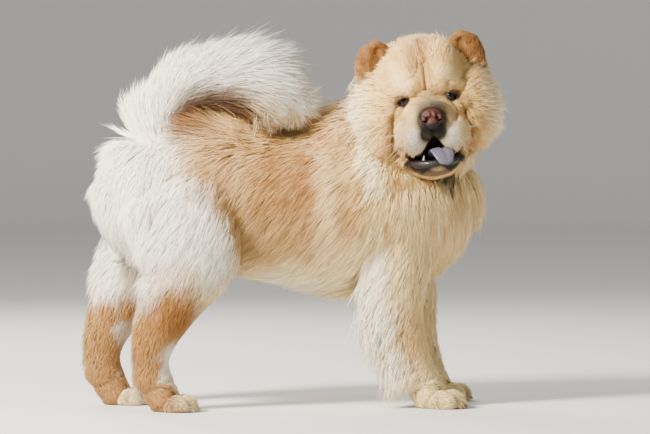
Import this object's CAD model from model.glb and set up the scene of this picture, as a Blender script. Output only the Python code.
# %% [markdown]
# # A chow chow, life size
#
# This notebook dresses a packed set of solids as a living chow chow. The solids give the size,
# the stance and the place of every part. Here one smooth skin is modelled over them, and a coat
# of many thousands of fine tufts is combed over that skin. Eyes, nose, tongue, tooth and claws
# are pieces of their own.

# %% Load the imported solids
import math

import bmesh
import bpy
import numpy as np
from mathutils import Matrix, Vector


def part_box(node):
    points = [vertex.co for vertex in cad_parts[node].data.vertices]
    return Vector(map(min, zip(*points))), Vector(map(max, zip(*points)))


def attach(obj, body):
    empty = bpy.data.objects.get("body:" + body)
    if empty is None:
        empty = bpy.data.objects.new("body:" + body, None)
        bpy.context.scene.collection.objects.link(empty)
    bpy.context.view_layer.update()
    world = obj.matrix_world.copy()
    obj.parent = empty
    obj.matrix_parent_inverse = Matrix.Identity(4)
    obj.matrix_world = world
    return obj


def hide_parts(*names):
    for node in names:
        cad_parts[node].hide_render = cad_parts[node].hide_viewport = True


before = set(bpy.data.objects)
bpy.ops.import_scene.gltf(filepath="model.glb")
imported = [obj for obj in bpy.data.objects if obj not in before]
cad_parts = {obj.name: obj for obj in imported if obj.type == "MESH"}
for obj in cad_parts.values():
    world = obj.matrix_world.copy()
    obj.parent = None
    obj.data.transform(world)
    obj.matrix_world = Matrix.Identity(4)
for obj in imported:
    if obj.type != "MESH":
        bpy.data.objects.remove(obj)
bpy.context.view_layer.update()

# %% [markdown]
# ## The plan of the body
#
# A dog is easiest to plan as a few bent tubes: trunk, neck, tail and legs. Each row below is one
# station on such a tube: its place, its half width and half height, and how deep the coat grows
# there. The same numbers steer the skin, the lie of the hair, its length and its colour, so they
# can't drift apart. Places are measured from the ground under the middle of the body, with +X
# forward, +Y to the dog's left and +Z up.

# %% Stations of trunk, neck and tail
TRUNK = [
    (-0.305, 0.0, 0.335, 0.045, 0.060, 0.045),
    (-0.265, 0.0, 0.350, 0.082, 0.090, 0.050),
    (-0.190, 0.0, 0.362, 0.098, 0.092, 0.042),
    (-0.100, 0.0, 0.353, 0.098, 0.097, 0.034),
    (0.000, 0.0, 0.345, 0.106, 0.110, 0.035),
    (0.090, 0.0, 0.342, 0.113, 0.118, 0.040),
    (0.170, 0.0, 0.352, 0.104, 0.110, 0.050),
    (0.225, 0.0, 0.375, 0.080, 0.088, 0.058),
    (0.262, 0.0, 0.395, 0.045, 0.056, 0.060),
]
NECK = [
    (0.100, 0.000, 0.400, 0.082, 0.082, 0.040),
    (0.165, -0.006, 0.440, 0.078, 0.082, 0.055),
    (0.200, -0.026, 0.482, 0.072, 0.078, 0.064),
    (0.206, -0.058, 0.515, 0.068, 0.074, 0.060),
    (0.204, -0.082, 0.530, 0.062, 0.068, 0.050),
]
TAIL = [
    (-0.215, 0.000, 0.420, 0.036, 0.034, 0.016),
    (-0.243, -0.002, 0.470, 0.031, 0.031, 0.036),
    (-0.232, -0.006, 0.515, 0.021, 0.021, 0.052),
    (-0.195, -0.012, 0.551, 0.019, 0.019, 0.062),
    (-0.135, -0.020, 0.566, 0.017, 0.018, 0.068),
    (-0.080, -0.028, 0.560, 0.015, 0.016, 0.068),
    (-0.035, -0.036, 0.538, 0.012, 0.013, 0.056),
    (-0.002, -0.040, 0.520, 0.007, 0.008, 0.038),
]

# %% Stations of the legs, and how far each stands ahead
FORE_LEG = [
    (0.150, 0.070, 0.345, 0.038, 0.066, 0.026),
    (0.146, 0.078, 0.265, 0.036, 0.052, 0.026),
    (0.150, 0.082, 0.205, 0.031, 0.036, 0.022),
    (0.156, 0.082, 0.150, 0.027, 0.032, 0.018),
    (0.172, 0.082, 0.095, 0.024, 0.027, 0.012),
    (0.190, 0.082, 0.045, 0.025, 0.028, 0.006),
]
HIND_LEG = [
    (-0.205, 0.062, 0.360, 0.052, 0.094, 0.036),
    (-0.200, 0.080, 0.300, 0.046, 0.076, 0.036),
    (-0.205, 0.085, 0.240, 0.038, 0.054, 0.024),
    (-0.232, 0.085, 0.185, 0.030, 0.040, 0.018),
    (-0.258, 0.085, 0.130, 0.024, 0.030, 0.012),
    (-0.268, 0.085, 0.085, 0.021, 0.024, 0.008),
    (-0.262, 0.085, 0.045, 0.022, 0.026, 0.005),
]
STEP = {"fore_right": 0.012, "fore_left": 0.056, "hind_right": 0.004, "hind_left": -0.060}
STEP_DROP = 0.13  # a leg has taken its whole step this far below its top
SIDE = {"right": -1, "left": 1}
FEET = [(leg, side) for leg in ("fore", "hind") for side in SIDE]


def stood(leg, side):
    """A leg's stations on its side, stepped ahead or back."""
    rows = FORE_LEG if leg == "fore" else HIND_LEG
    top = rows[0][2]
    step = STEP[f"{leg}_{side}"]
    return [(x + step * min((top - z) / STEP_DROP, 1), SIDE[side] * y, z, *more) for x, y, z, *more in rows]


LEGS = {f"{leg}_{side}": stood(leg, side) for leg, side in FEET}
print("stations", len(TRUNK) + len(NECK) + len(TAIL), "legs", list(LEGS))

# %% [markdown]
# ## Where the head and the whole dog stand
#
# The head is modelled facing +X about the middle of the skull, which keeps it symmetric and easy
# to measure. One matrix then turns it over the right shoulder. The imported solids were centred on
# their bounds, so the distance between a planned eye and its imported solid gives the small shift
# that brings the whole plan onto them.

# %% Placement
HEAD_PLACE = Matrix.Translation((0.2035, -0.097, 0.5425)) @ Matrix.Rotation(math.radians(-98), 4, "Z")
HEAD_PLACE = HEAD_PLACE @ Matrix.Rotation(math.radians(7.1), 4, "X")
EYE_AT = Vector((0.0530, 0.0398, -0.010))
EYE_RADIUS = 0.0108
NOSE_AT = Vector((0.1130, 0.0, -0.043))


def at_side(point, sign):
    """A point of the head on its left, sign 1, or on its right, sign -1."""
    return point * Vector((1, sign, 1))


eye_low, eye_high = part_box("eye_right")
SHIFT = (eye_low + eye_high) / 2 - HEAD_PLACE @ at_side(EYE_AT, -1)
TO_WORLD = Matrix.Translation(SHIFT)
print("shift", SHIFT)

# %% [markdown]
# ## Shapes like clay
#
# Muscle and fur have no flat faces and no seams. So each form starts as overlapping balls and
# bent tubes, as a sculptor would press lumps of clay together. A voxel Remesh melts them into
# one closed surface, and a Smooth modifier softens the joins.

# %% Helpers that make a mesh
def link(mesh, name):
    made = bpy.data.objects.new(name, mesh)
    bpy.context.scene.collection.objects.link(made)
    return made


def mesh_from(bm, name="shape"):
    bmesh.ops.recalc_face_normals(bm, faces=bm.faces)
    mesh = bpy.data.meshes.new(name)
    bm.to_mesh(mesh)
    bm.free()
    return mesh


def evaluated(thing):
    """The object's mesh with its modifiers applied. The object goes."""
    bpy.context.view_layer.update()
    graph = bpy.context.evaluated_depsgraph_get()
    mesh = bpy.data.meshes.new_from_object(thing.evaluated_get(graph))
    bpy.data.objects.remove(thing, do_unlink=True)
    return mesh


def ball(centre, radii, turn=None):
    bm = bmesh.new()
    bmesh.ops.create_uvsphere(bm, u_segments=32, v_segments=16, radius=1)
    place = Matrix.Translation(Vector(centre)) @ (turn.to_4x4() if turn else Matrix.Identity(4))
    bmesh.ops.transform(bm, matrix=place @ Matrix.Diagonal((*radii, 1)), verts=bm.verts)
    return mesh_from(bm)


def turns_of(count):
    """Angles once around."""
    return [2 * math.pi * k / count for k in range(count)]


def bridged(loops, open_end=False):
    """Loops of points joined one to the next, and closed at both ends or at the first alone."""
    bm = bmesh.new()
    rings = [[bm.verts.new(point) for point in loop] for loop in loops]
    for one, two in zip(rings, rings[1:]):
        for k in range(len(one)):
            n = (k + 1) % len(one)
            bm.faces.new((one[k], one[n], two[n], two[k]))
    bm.faces.new(rings[0])
    if not open_end:
        bm.faces.new(rings[-1])
    return mesh_from(bm)


# %% Tubes through rows of numbers
def between(t, a, b, c, d):
    """The value a share t of the way from b to c, on a smooth curve through all four."""
    bend = (2 * a - 5 * b + 4 * c - d) * t * t
    return 0.5 * (2 * b + (c - a) * t + bend + (3 * b - a - 3 * c + d) * t**3)


def spline(rows, steps):
    """Rows of numbers carried through a smooth curve."""
    out = []
    last = len(rows) - 1
    for i in range(last):
        four = [rows[min(max(j, 0), last)] for j in range(i - 1, i + 3)]
        for k in range(steps):
            out.append(tuple(between(k / steps, *values) for values in zip(*four)))
    return out + [tuple(rows[-1])]


def sweep(rows, across=Vector((0, 1, 0)), sides=32, steps=6, dome=0.6):
    """A closed tube through rows of x, y, z, half width, half height, with rounded ends."""
    rows = spline([r[:5] for r in rows], steps)
    points = [Vector(r[:3]) for r in rows]
    last = len(points) - 1
    ways = [(points[min(i + 1, last)] - points[max(i - 1, 0)]).normalized() for i in range(last + 1)]
    rings = [(p, w, r[3], r[4]) for p, w, r in zip(points, ways, rows)]

    def cap(ring, sign):
        p, w, a, b = ring
        reach = dome * min(a, b)
        arc = [(math.cos(t), math.sin(t)) for t in (0.5, 1.0, 1.4)]
        return [(p + w * sign * reach * out, w, a * share, b * share) for share, out in arc]

    loops = []
    side = across
    for p, w, a, b in cap(rings[0], -1)[::-1] + rings + cap(rings[-1], 1):
        side = (side - w * side.dot(w)).normalized()
        rise = w.cross(side)
        loops.append([p + side * a * math.cos(t) + rise * b * math.sin(t) for t in turns_of(sides)])
    return bridged(loops)


def coated(rows, share):
    """Stations with a share of the coat's depth laid on."""
    return [(x, y, z, a + share * c, b + share * c) for x, y, z, a, b, c in rows]


# %% Melting and cutting
def joined(meshes):
    bm = bmesh.new()
    for mesh in meshes:
        bm.from_mesh(mesh)
    mesh = bpy.data.meshes.new("joined")
    bm.to_mesh(mesh)
    bm.free()
    return mesh


def clay(pieces, voxel, smoothing):
    """Overlapping pieces melted into one smooth closed surface."""
    lump = link(joined(pieces), "lump")
    melt = lump.modifiers.new("melt", "REMESH")
    melt.mode = "VOXEL"
    melt.voxel_size = voxel
    relax = lump.modifiers.new("relax", "SMOOTH")
    relax.factor = 0.5
    relax.iterations = smoothing
    return evaluated(lump)


def boolean(mesh, other, operation):
    thing, tool = link(mesh, "kept"), link(other, "tool")
    cut = thing.modifiers.new("cut", "BOOLEAN")
    cut.operation = operation
    cut.solver = "MANIFOLD"
    cut.object = tool
    made = evaluated(thing)
    bpy.data.objects.remove(tool, do_unlink=True)
    return made


# %% Meshes as arrays
def read(rows, key, width=3, kind=float):
    """One value of all rows of a mesh, as an array."""
    out = np.empty(len(rows) * width, dtype=kind)
    rows.foreach_get(key, out)
    return out.reshape(-1, width)


def coords(mesh):
    return read(mesh.vertices, "co")


def vertex_normals(mesh):
    return read(mesh.vertex_normals, "vector")


def set_coords(mesh, points):
    mesh.vertices.foreach_set("co", np.ascontiguousarray(points, dtype=np.float32).ravel())
    mesh.update()


def smooth(mesh):
    """Smooth shading on all faces."""
    mesh.polygons.foreach_set("use_smooth", np.ones(len(mesh.polygons), dtype=bool))


def mirrored(points):
    """Points with those of one side of the middle plane folded onto the other."""
    return np.stack((points[:, 0], np.abs(points[:, 1]), points[:, 2]), axis=1)


def unit(v):
    return v / np.maximum(np.linalg.norm(v, axis=1), 1e-9)[:, None]


# %% [markdown]
# ## The body under the coat
#
# Under a chow's coat lies a compact, square dog. The skin keeps a share of the coat's depth, the
# dense woolly undercoat, so the tufts only have to cover the outer part. All limbs are melted
# with the trunk in one go, so no seam shows where a leg leaves the body.

# %% Body skin
SKIN_SHARE = 0.36
body_forms = [sweep(coated(TRUNK, SKIN_SHARE)), sweep(coated(NECK, SKIN_SHARE)), sweep(coated(TAIL, 0.25))]
body_forms += [sweep(coated(rows, SKIN_SHARE)) for rows in LEGS.values()]
body_forms.append(ball((0.192, 0.028, 0.430), (0.094, 0.082, 0.086)))
body_skin = clay(body_forms, voxel=0.0056, smoothing=7)
print("body skin", len(body_skin.polygons), "faces")

# %% [markdown]
# ## The head
#
# A chow's head is broad and flat between small thick ears, with a short, deep, padded muzzle.
# Brows and folds almost bury the eyes. The form is laid down in balls and tubes, then creases
# are pressed in along short paths: down the forehead, under each eye and round the muzzle.

# %% Head forms
def head_forms():
    coat = 0.026 * SKIN_SHARE
    pieces = [
        ball((-0.010, 0, 0.010 + coat / 2), (0.082, 0.076 + coat / 2, 0.064 + coat / 2)),
        ball((-0.015, 0, -0.045), (0.070, 0.080, 0.070)),
        ball((0.084, 0, -0.036), (0.034, 0.034, 0.020)),
        sweep(
            (
                (-0.02, 0, -0.040, 0.060, 0.050),
                (0.040, 0, -0.044, 0.058, 0.044),
                (0.075, 0, -0.052, 0.050, 0.034),
                (0.104, 0, -0.056, 0.036, 0.024),
            ),
            dome=0.35,
        ),
    ]
    for sign in SIDE.values():
        pieces += [
            ball((0.036, 0.029 * sign, 0.030), (0.037, 0.030, 0.040)),
            ball((0.049, 0.038 * sign, 0.0065), (0.0195, 0.024, 0.0105)),
            ball((0.053, 0.022 * sign, 0.014), (0.021, 0.018, 0.018)),
            ball((0.052, 0.052 * sign, -0.026), (0.016, 0.016, 0.011)),
            ball((0.012, (0.058 + coat / 2) * sign, -0.030), (0.048, 0.038 + coat / 2, 0.060)),
            ball((0.026, 0.060 * sign, -0.055), (0.036, 0.030, 0.040)),
            ball((0.074, 0.034 * sign, -0.074), (0.039, 0.032, 0.031)),
            ball(at_side(EYE_AT, sign) - Vector((0.001, 0, 0)), (EYE_RADIUS + 0.0042,) * 3),
        ]
    return pieces


def jaw_forms():
    rim = (
        (0.036, 0.0450, -0.1000, 0.0050, 0.0055),
        (0.050, 0.0435, -0.1085, 0.0060, 0.0070),
        (0.068, 0.0375, -0.1160, 0.0070, 0.0075),
        (0.084, 0.0270, -0.1195, 0.0072, 0.0075),
        (0.094, 0.0130, -0.1210, 0.0072, 0.0075),
        (0.096, 0.0000, -0.1210, 0.0072, 0.0075),
    )
    pieces = [
        sweep(
            (
                (0.005, 0, -0.118, 0.044, 0.026),
                (0.045, 0, -0.125, 0.039, 0.019),
                (0.072, 0, -0.128, 0.030, 0.014),
                (0.083, 0, -0.129, 0.020, 0.011),
            ),
            dome=0.5,
        )
    ]
    for sign in SIDE.values():
        pieces.append(sweep([(x, y * sign, z, a, b) for x, y, z, a, b in rim], Vector((0, 0, 1)), sides=16))
    return pieces


# %% Creases pressed into the head
CREASES = (
    (((0, 0.0, 0.002), (0, 0.0, 0.046)), 0.0028, 0.0066),
    (((0, 0.003, 0.0036), (0, 0.017, -0.003), (0, 0.029, -0.004)), 0.0030, 0.0032),
    (
        (
            (0, 0.050, -0.016),
            (0, 0.0596, -0.035),
            (0, 0.0665, -0.064),
            (0, 0.0665, -0.084),
            (0, 0.055, -0.091),
        ),
        0.0036,
        0.0070,
    ),
    (((0, 0.039, -0.020), (0, 0.0455, -0.034), (0, 0.043, -0.050)), 0.0032, 0.0032),
    (((0, 0.0, -0.058), (0, 0.0, -0.074)), 0.0026, 0.0040),
)
FROM_FRONT = np.array((0.0, 1.0, 1.0))
FROM_ABOVE = np.array((1.0, 1.0, 0.0))
FACE_STARTS = 0.018  # creases lie ahead of this, measured from the middle of the skull


def distance_to(points, path):
    """How far each point lies from a path of straight pieces."""
    nearest = np.full(len(points), 1e9)
    path = np.array(path)
    for a, b in zip(path, path[1:]):
        along = np.clip(((points - a) @ (b - a)) / ((b - a) @ (b - a)), 0, 1)
        nearest = np.minimum(nearest, np.linalg.norm(points - a - along[:, None] * (b - a), axis=1))
    return nearest


def groove_at(points, path, width):
    """1 on a path, falling off to its sides."""
    return np.exp(-((distance_to(points, path) / width) ** 2))


def pressed(mesh, creases, seen=FROM_FRONT):
    """Grooves pressed along paths on both sides, where the form is seen from."""
    points, normals = coords(mesh), vertex_normals(mesh)
    folded = mirrored(points) * seen
    ahead = (points[:, 0] > FACE_STARTS)[:, None]
    for path, width, depth in creases:
        points = points - normals * (depth * groove_at(folded, path, width))[:, None] * ahead
    set_coords(mesh, points)
    return mesh


# %% [markdown]
# The mouth is open in a pant. The flews of the upper lip hang over the lower lip, and between
# them a dark wedge opens below the nose. The mouth is carved out as a hollow, and the sockets
# are cut so that only a small almond of each eye shows between real lids.

# %% Mouth hollow, sockets and lids
EYE_SLANT = math.radians(-26)
EYE_OUT = math.radians(16)


def eye_turn(sign):
    return Matrix.Rotation(EYE_OUT * sign, 3, "Z") @ Matrix.Rotation(EYE_SLANT * sign, 3, "X")


def lid_opening(sign, half=0.0090, high=0.0031):
    """The almond opening between the lids, as a prism along the gaze."""
    rise = [math.copysign(abs(math.sin(t)) ** 1.2, math.sin(t)) for t in turns_of(20)]
    outline = [(half * math.cos(t), high * up) for t, up in zip(turns_of(20), rise)]
    flare, reach = 1.3, 0.035
    mesh = bridged(([(0, y, z) for y, z in outline], [(reach, y * flare, z * flare) for y, z in outline]))
    mesh.transform(Matrix.Translation(at_side(EYE_AT, sign)) @ eye_turn(sign).to_4x4())
    return mesh


def wedge_prism(corners, back, front):
    """A prism through corners in the plane across the face, from back to front."""
    return bridged([[(x, y, z) for y, z in corners] for x in (back, front)])


def mouth_hollow():
    """The dark wedge under the nose, the slot between the lips and the cavity behind them."""
    below_nose = ((-0.026, -0.1085), (0.026, -0.1070), (0.014, -0.088), (0.001, -0.0700), (-0.012, -0.088))
    slot = [(-0.048, -0.0900), (-0.037, -0.1040), (-0.024, -0.1068)]
    slot += [(0.024, -0.1058), (0.037, -0.1030), (0.048, -0.0890)]
    slot += [(0.048, -0.0935), (0.037, -0.1085), (0.020, -0.1115)]
    slot += [(-0.020, -0.1120), (-0.037, -0.1095), (-0.048, -0.0945)]
    pieces = [
        wedge_prism(below_nose, 0.030, 0.130),
        wedge_prism(slot, 0.030, 0.130),
        ball((0.045, 0, -0.104), (0.040, 0.030, 0.015)),
    ]
    return clay(pieces, voxel=0.0022, smoothing=3)


head_skin = pressed(clay(head_forms() + jaw_forms(), voxel=0.0024, smoothing=3), CREASES)
head_skin = boolean(head_skin, mouth_hollow(), "DIFFERENCE")
for sign in SIDE.values():
    head_skin = boolean(head_skin, ball(at_side(EYE_AT, sign), (EYE_RADIUS + 0.0004,) * 3), "DIFFERENCE")
    head_skin = boolean(head_skin, lid_opening(sign), "DIFFERENCE")
print("head skin", len(head_skin.polygons), "faces")

# %% [markdown]
# ## Ears and paws
#
# The ears are small, thick and rounded, and lean forward over the eyes. Each is a filled tube
# with its cup pressed into the front. The paws are round and cat-like: four toes on a short
# pastern, with flat pads where they meet the floor.

# %% Ears
EAR = (
    (-0.008, 0.078, 0.022, 0.036, 0.0120),
    (-0.004, 0.077, 0.050, 0.035, 0.0108),
    (0.003, 0.075, 0.074, 0.028, 0.0088),
    (0.010, 0.073, 0.088, 0.018, 0.0066),
    (0.013, 0.072, 0.094, 0.009, 0.0048),
)
EAR_CUP = (
    (0.012, 0.075, 0.036, 0.022, 0.0105),
    (0.015, 0.074, 0.060, 0.019, 0.0090),
    (0.018, 0.071, 0.084, 0.008, 0.0065),
)


def ear_skin(sign):
    shell, cup = ([(x, y * sign, z, a, b) for x, y, z, a, b in rows] for rows in (EAR, EAR_CUP))
    whole = clay([sweep(shell, dome=0.8)], voxel=0.0022, smoothing=3)
    return boolean(whole, clay([sweep(cup)], voxel=0.0022, smoothing=2), "DIFFERENCE")


for sign in SIDE.values():
    head_skin = boolean(head_skin, ear_skin(sign), "UNION")
head_skin.transform(HEAD_PLACE)

# %% Paws
TOES = ((0.046, -0.0215), (0.056, -0.0075), (0.056, 0.0075), (0.046, 0.0215))
TOE_CREASES = (
    (((0.024, 0, 0.036), (0.046, 0, 0.026), (0.070, 0, 0.014), (0.074, 0, 0.004)), 0.0028, 0.0070),
    (
        ((0.022, 0.0155, 0.034), (0.042, 0.0155, 0.025), (0.064, 0.0155, 0.014), (0.068, 0.0155, 0.004)),
        0.0028,
        0.0070,
    ),
    (((0.030, 0.032, 0.020), (0.036, 0.032, 0.002)), 0.0030, 0.0030),
)
PAW_TURN = {"fore_right": -30, "fore_left": -12, "hind_right": -26, "hind_left": -16}
PAW_SIZE = {"fore": 1.0, "hind": 0.92}
PAW_SPREAD = {"fore": 0.082, "hind": 0.085}
SOLE = 0.0006  # nothing reaches lower than this above the floor


def paw_place(leg, side):
    place = Matrix.Translation((LEGS[f"{leg}_{side}"][-1][0], PAW_SPREAD[leg] * SIDE[side], 0))
    turn = math.radians(PAW_TURN[f"{leg}_{side}"])
    return place @ Matrix.Rotation(turn, 4, "Z") @ Matrix.Diagonal((*(PAW_SIZE[leg],) * 3, 1))


WRIST = (
    (-0.001, 0, 0.068, 0.021, 0.023),
    (0.002, 0, 0.045, 0.0245, 0.028),
    (0.016, 0, 0.022, 0.027, 0.025),
)


def paw_skin(leg, side):
    pieces = [sweep(WRIST), ball((0.018, 0, 0.016), (0.029, 0.025, 0.0165))]
    pieces += [ball((tx - 0.004, ty * 1.06, 0.0135), (0.0205, 0.0088, 0.0142)) for tx, ty in TOES]
    mesh = pressed(clay(pieces, voxel=0.0020, smoothing=2), TOE_CREASES, np.ones(3))
    mesh.transform(paw_place(leg, side))
    points = coords(mesh)
    points[:, 2] = np.maximum(points[:, 2], SOLE)
    set_coords(mesh, points)
    return mesh


PAWS = {foot: paw_place(*foot) for foot in FEET}
skin_mesh = boolean(body_skin, head_skin, "UNION")
for foot in FEET:
    skin_mesh = boolean(skin_mesh, paw_skin(*foot), "UNION")
print("whole skin", len(skin_mesh.polygons), "faces")

# %% [markdown]
# ## Where on the dog is a point?
#
# The markings, the length of the hair and its lie all depend on which part of the dog a point
# belongs to. So every point is given its nearest station, and with it a kind, the way along that
# tube and the coat's depth. Numpy does this for all points at once.

# %% Nearest station of many points
KINDS = ("trunk", "neck", "tail", "fore", "hind", "head")
TRUNK_KIND, NECK_KIND, TAIL_KIND, FORE_KIND, HIND_KIND, HEAD_KIND = range(6)
tubes = [(TRUNK_KIND, TRUNK), (NECK_KIND, NECK), (TAIL_KIND, TAIL)]
tubes += [(KINDS.index(leg), LEGS[f"{leg}_{side}"]) for leg, side in FEET]
station_rows = []
for kind, rows in tubes:
    fine = spline(rows, 5)
    places = np.array([r[:3] for r in fine])
    ways = np.gradient(places, axis=0)
    ways /= np.linalg.norm(ways, axis=1)[:, None]
    for place, way, row in zip(places, ways, fine):
        station_rows.append((kind, *place, *way, min(row[3], row[4]), row[5]))
STATIONS = np.array(station_rows)
TO_HEAD = np.array(HEAD_PLACE.inverted())


def in_head(points):
    """Points in the head's own frame."""
    return points @ TO_HEAD[:3, :3].T + TO_HEAD[:3, 3]


def survey(points):
    """The nearest station of each point: kind, way, centre, half width and coat depth."""
    rows = np.empty((len(points), STATIONS.shape[1]))
    batch = 20000
    for start in range(0, len(points), batch):
        part = points[start : start + batch]
        far = np.linalg.norm(part[:, None] - STATIONS[None, :, 1:4], axis=2) - STATIONS[None, :, 7]
        rows[start : start + batch] = STATIONS[far.argmin(axis=1)]
    q = in_head(points)
    on_head = (q[:, 0] > -0.030) & (q[:, 2] > -0.150) & (np.abs(q[:, 1]) < 0.112)
    on_head &= (q[:, 0] > 0.0) | (q[:, 2] > -0.04)
    kind = rows[:, 0].astype(int)
    kind[on_head] = HEAD_KIND
    centre, way, width, depth = rows[:, 1:4], rows[:, 4:7], rows[:, 7], rows[:, 8]
    return {"kind": kind, "centre": centre, "way": way, "width": width, "depth": depth, "q": q}


# %% Soft masks
def ramp(value, low, high):
    t = np.clip((value - low) / (high - low), 0, 1)
    return t * t * (3 - 2 * t)


def near(points, place, radius):
    """A soft spot: 1 at the place and 0 beyond its radius."""
    return 1 - ramp(np.linalg.norm((points - np.array(place)) / np.array(radius), axis=1), 0.35, 1.0)


def ripple(points, scale, seed):
    """A smooth wandering value between -1 and 1, from a few crossed waves."""
    rng = np.random.default_rng(seed)
    total = np.zeros(len(points))
    waves = 5
    for _ in range(waves):
        wave = rng.normal(size=3) * 2 * math.pi / scale
        total += np.sin(points @ wave + rng.uniform(0, 2 * math.pi))
    return total / waves * 1.6


# %% Masks of ears and lips
EAR_ROWS = np.array(EAR)


def on_ear(q):
    """Whether a point of the head lies on an ear."""
    middle_x, middle_y, half = (np.interp(q[:, 2], EAR_ROWS[:, 2], EAR_ROWS[:, k]) for k in (0, 1, 3))
    across = np.abs(np.abs(q[:, 1]) - middle_y) / (half + 0.004)
    return (across < 1.12) & (np.abs(q[:, 0] - middle_x) < 0.022) & (q[:, 2] > 0.024)


def ear_share(q):
    """1 where an ear isn't hidden by the crown's hair."""
    y, z = np.abs(q[:, 1]), q[:, 2]
    middle_x = np.interp(z, EAR_ROWS[:, 2], EAR_ROWS[:, 0])
    crown_edge = 0.080 - (z - 0.037) * 0.80
    front = q[:, 0] > middle_x
    inward = np.where(front, ramp(y - crown_edge, -0.005, 0.005), ramp(y, 0.040, 0.050))
    return on_ear(q) * ramp(z, 0.024, 0.032) * inward


def lip_share(q):
    """1 on the bare dark edge of the lips, which follows the mouth line."""
    y, x, z = np.abs(q[:, 1]), q[:, 0], q[:, 2]
    line = np.interp(y, (0.0, 0.014, 0.024, 0.037, 0.048), (-0.072, -0.088, -0.1055, -0.1030, -0.0900))
    upper = line - z
    past_rim = upper - np.interp(y, (0.0, 0.037, 0.048), (0.050, 0.020, 0.010))
    return (x > 0.034) * (y < 0.050) * ramp(upper, -0.0015, 0.0010) * (1 - ramp(past_rim, 0.0, 0.004))


# %% [markdown]
# ## Markings
#
# This chow is cream and apricot. The saddle is warm tan, the rump, trousers and tail are white,
# the ears and the hind shanks are orange brown, and the mane is cream streaked with tan. Each
# marking is a soft spot or band in the dog's own space, mixed over the one before.

# %% Colours of the coat
def linear(r, g, b):
    """A colour seen on screen, as the linear values that a shader takes."""
    return np.array([c / 12.92 if c <= 0.04045 else ((c + 0.055) / 1.055) ** 2.4 for c in (r, g, b)])


WHITE = linear(0.985, 0.96, 0.90)
PALE = linear(0.96, 0.89, 0.72)
CREAM = linear(0.94, 0.83, 0.60)
APRICOT = linear(0.82, 0.64, 0.38)
TAN = linear(0.66, 0.49, 0.29)
ORANGE = linear(0.58, 0.39, 0.18)
RUST = linear(0.46, 0.29, 0.14)
UMBER = linear(0.34, 0.21, 0.12)
LIP = linear(0.08, 0.06, 0.06)
TOE_LINE = linear(0.34, 0.23, 0.14)


def mix(base, colour, amount):
    return base + (colour - base) * np.clip(amount, 0, 1)[:, None]


def spotted(c, p, rows, where=1.0):
    """Soft spots mixed over colours. A row is a colour, a place, a radius, a gain and an amount."""
    for colour, place, radius, gain, amount in rows:
        c = mix(c, colour, np.minimum(near(p, place, radius) * gain, 1) * where * amount)
    return c


# %% Markings of trunk and neck
def trunk_colours(p, s, x, z):
    """The saddle, the white rump and the streaked mane."""
    patchy = 0.5 + 0.5 * ripple(p, 0.055, 9)
    saddle = ramp(x, -0.235, -0.165) * (1 - ramp(x, 0.070, 0.130)) * ramp(z, 0.235, 0.315)
    c = mix(np.tile(CREAM, (len(p), 1)), TAN, saddle * (0.66 + 0.34 * patchy))
    on_saddle = (
        (linear(0.78, 0.63, 0.44), (-0.130, 0, 0.415), (0.075, 0.4, 0.060), 1, 0.6),
        (ORANGE, (-0.015, -0.1, 0.400), (0.080, 0.3, 0.090), 1, 0.45 + 0.30 * patchy),
        (RUST, (-0.070, -0.1, 0.300), (0.030, 0.3, 0.080), 1, 0.30),
        (CREAM, (0.050, -0.1, 0.36), (0.028, 0.3, 0.15), 1, 0.55),
    )
    c = mix(spotted(c, p, on_saddle), WHITE, (1 - ramp(x, -0.225, -0.165)) * 0.95)
    haunch = ((WHITE, (-0.205, 0, 0.300), (0.125, 0.4, 0.130), 1.5, 0.98),)
    c = spotted(c, p, haunch, s["kind"] == HIND_KIND)
    mane = ramp(x, 0.07, 0.14) * ramp(z, 0.20, 0.27)
    c = mix(c, CREAM, mane * 0.9)
    streak = np.clip(ripple(p * np.array((1, 1, 0.35)), 0.045, 8) * 0.6 + 0.10, 0, 0.6)
    c = mix(c, APRICOT, streak * mane)
    on_crest = (
        (APRICOT, (0.125, 0, 0.46), (0.10, 0.3, 0.11), 1, 0.55),
        (ORANGE, (0.100, 0, 0.47), (0.045, 0.3, 0.05), 1, 0.35),
    )
    c = mix(spotted(c, p, on_crest), CREAM, (1 - ramp(z, 0.240, 0.290)) * (s["kind"] == TRUNK_KIND) * 0.75)
    on_mane = (
        (PALE, HEAD_PLACE.translation, (0.160, 0.150, 0.150), 1, 0.65),
        (APRICOT, (0.105, -0.1, 0.375), (0.030, 0.3, 0.055), 1, 0.45),
        (TAN, (0.262, -0.1, 0.375), (0.020, 0.3, 0.038), 1, 0.45),
    )
    return spotted(c, p, on_mane)


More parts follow.
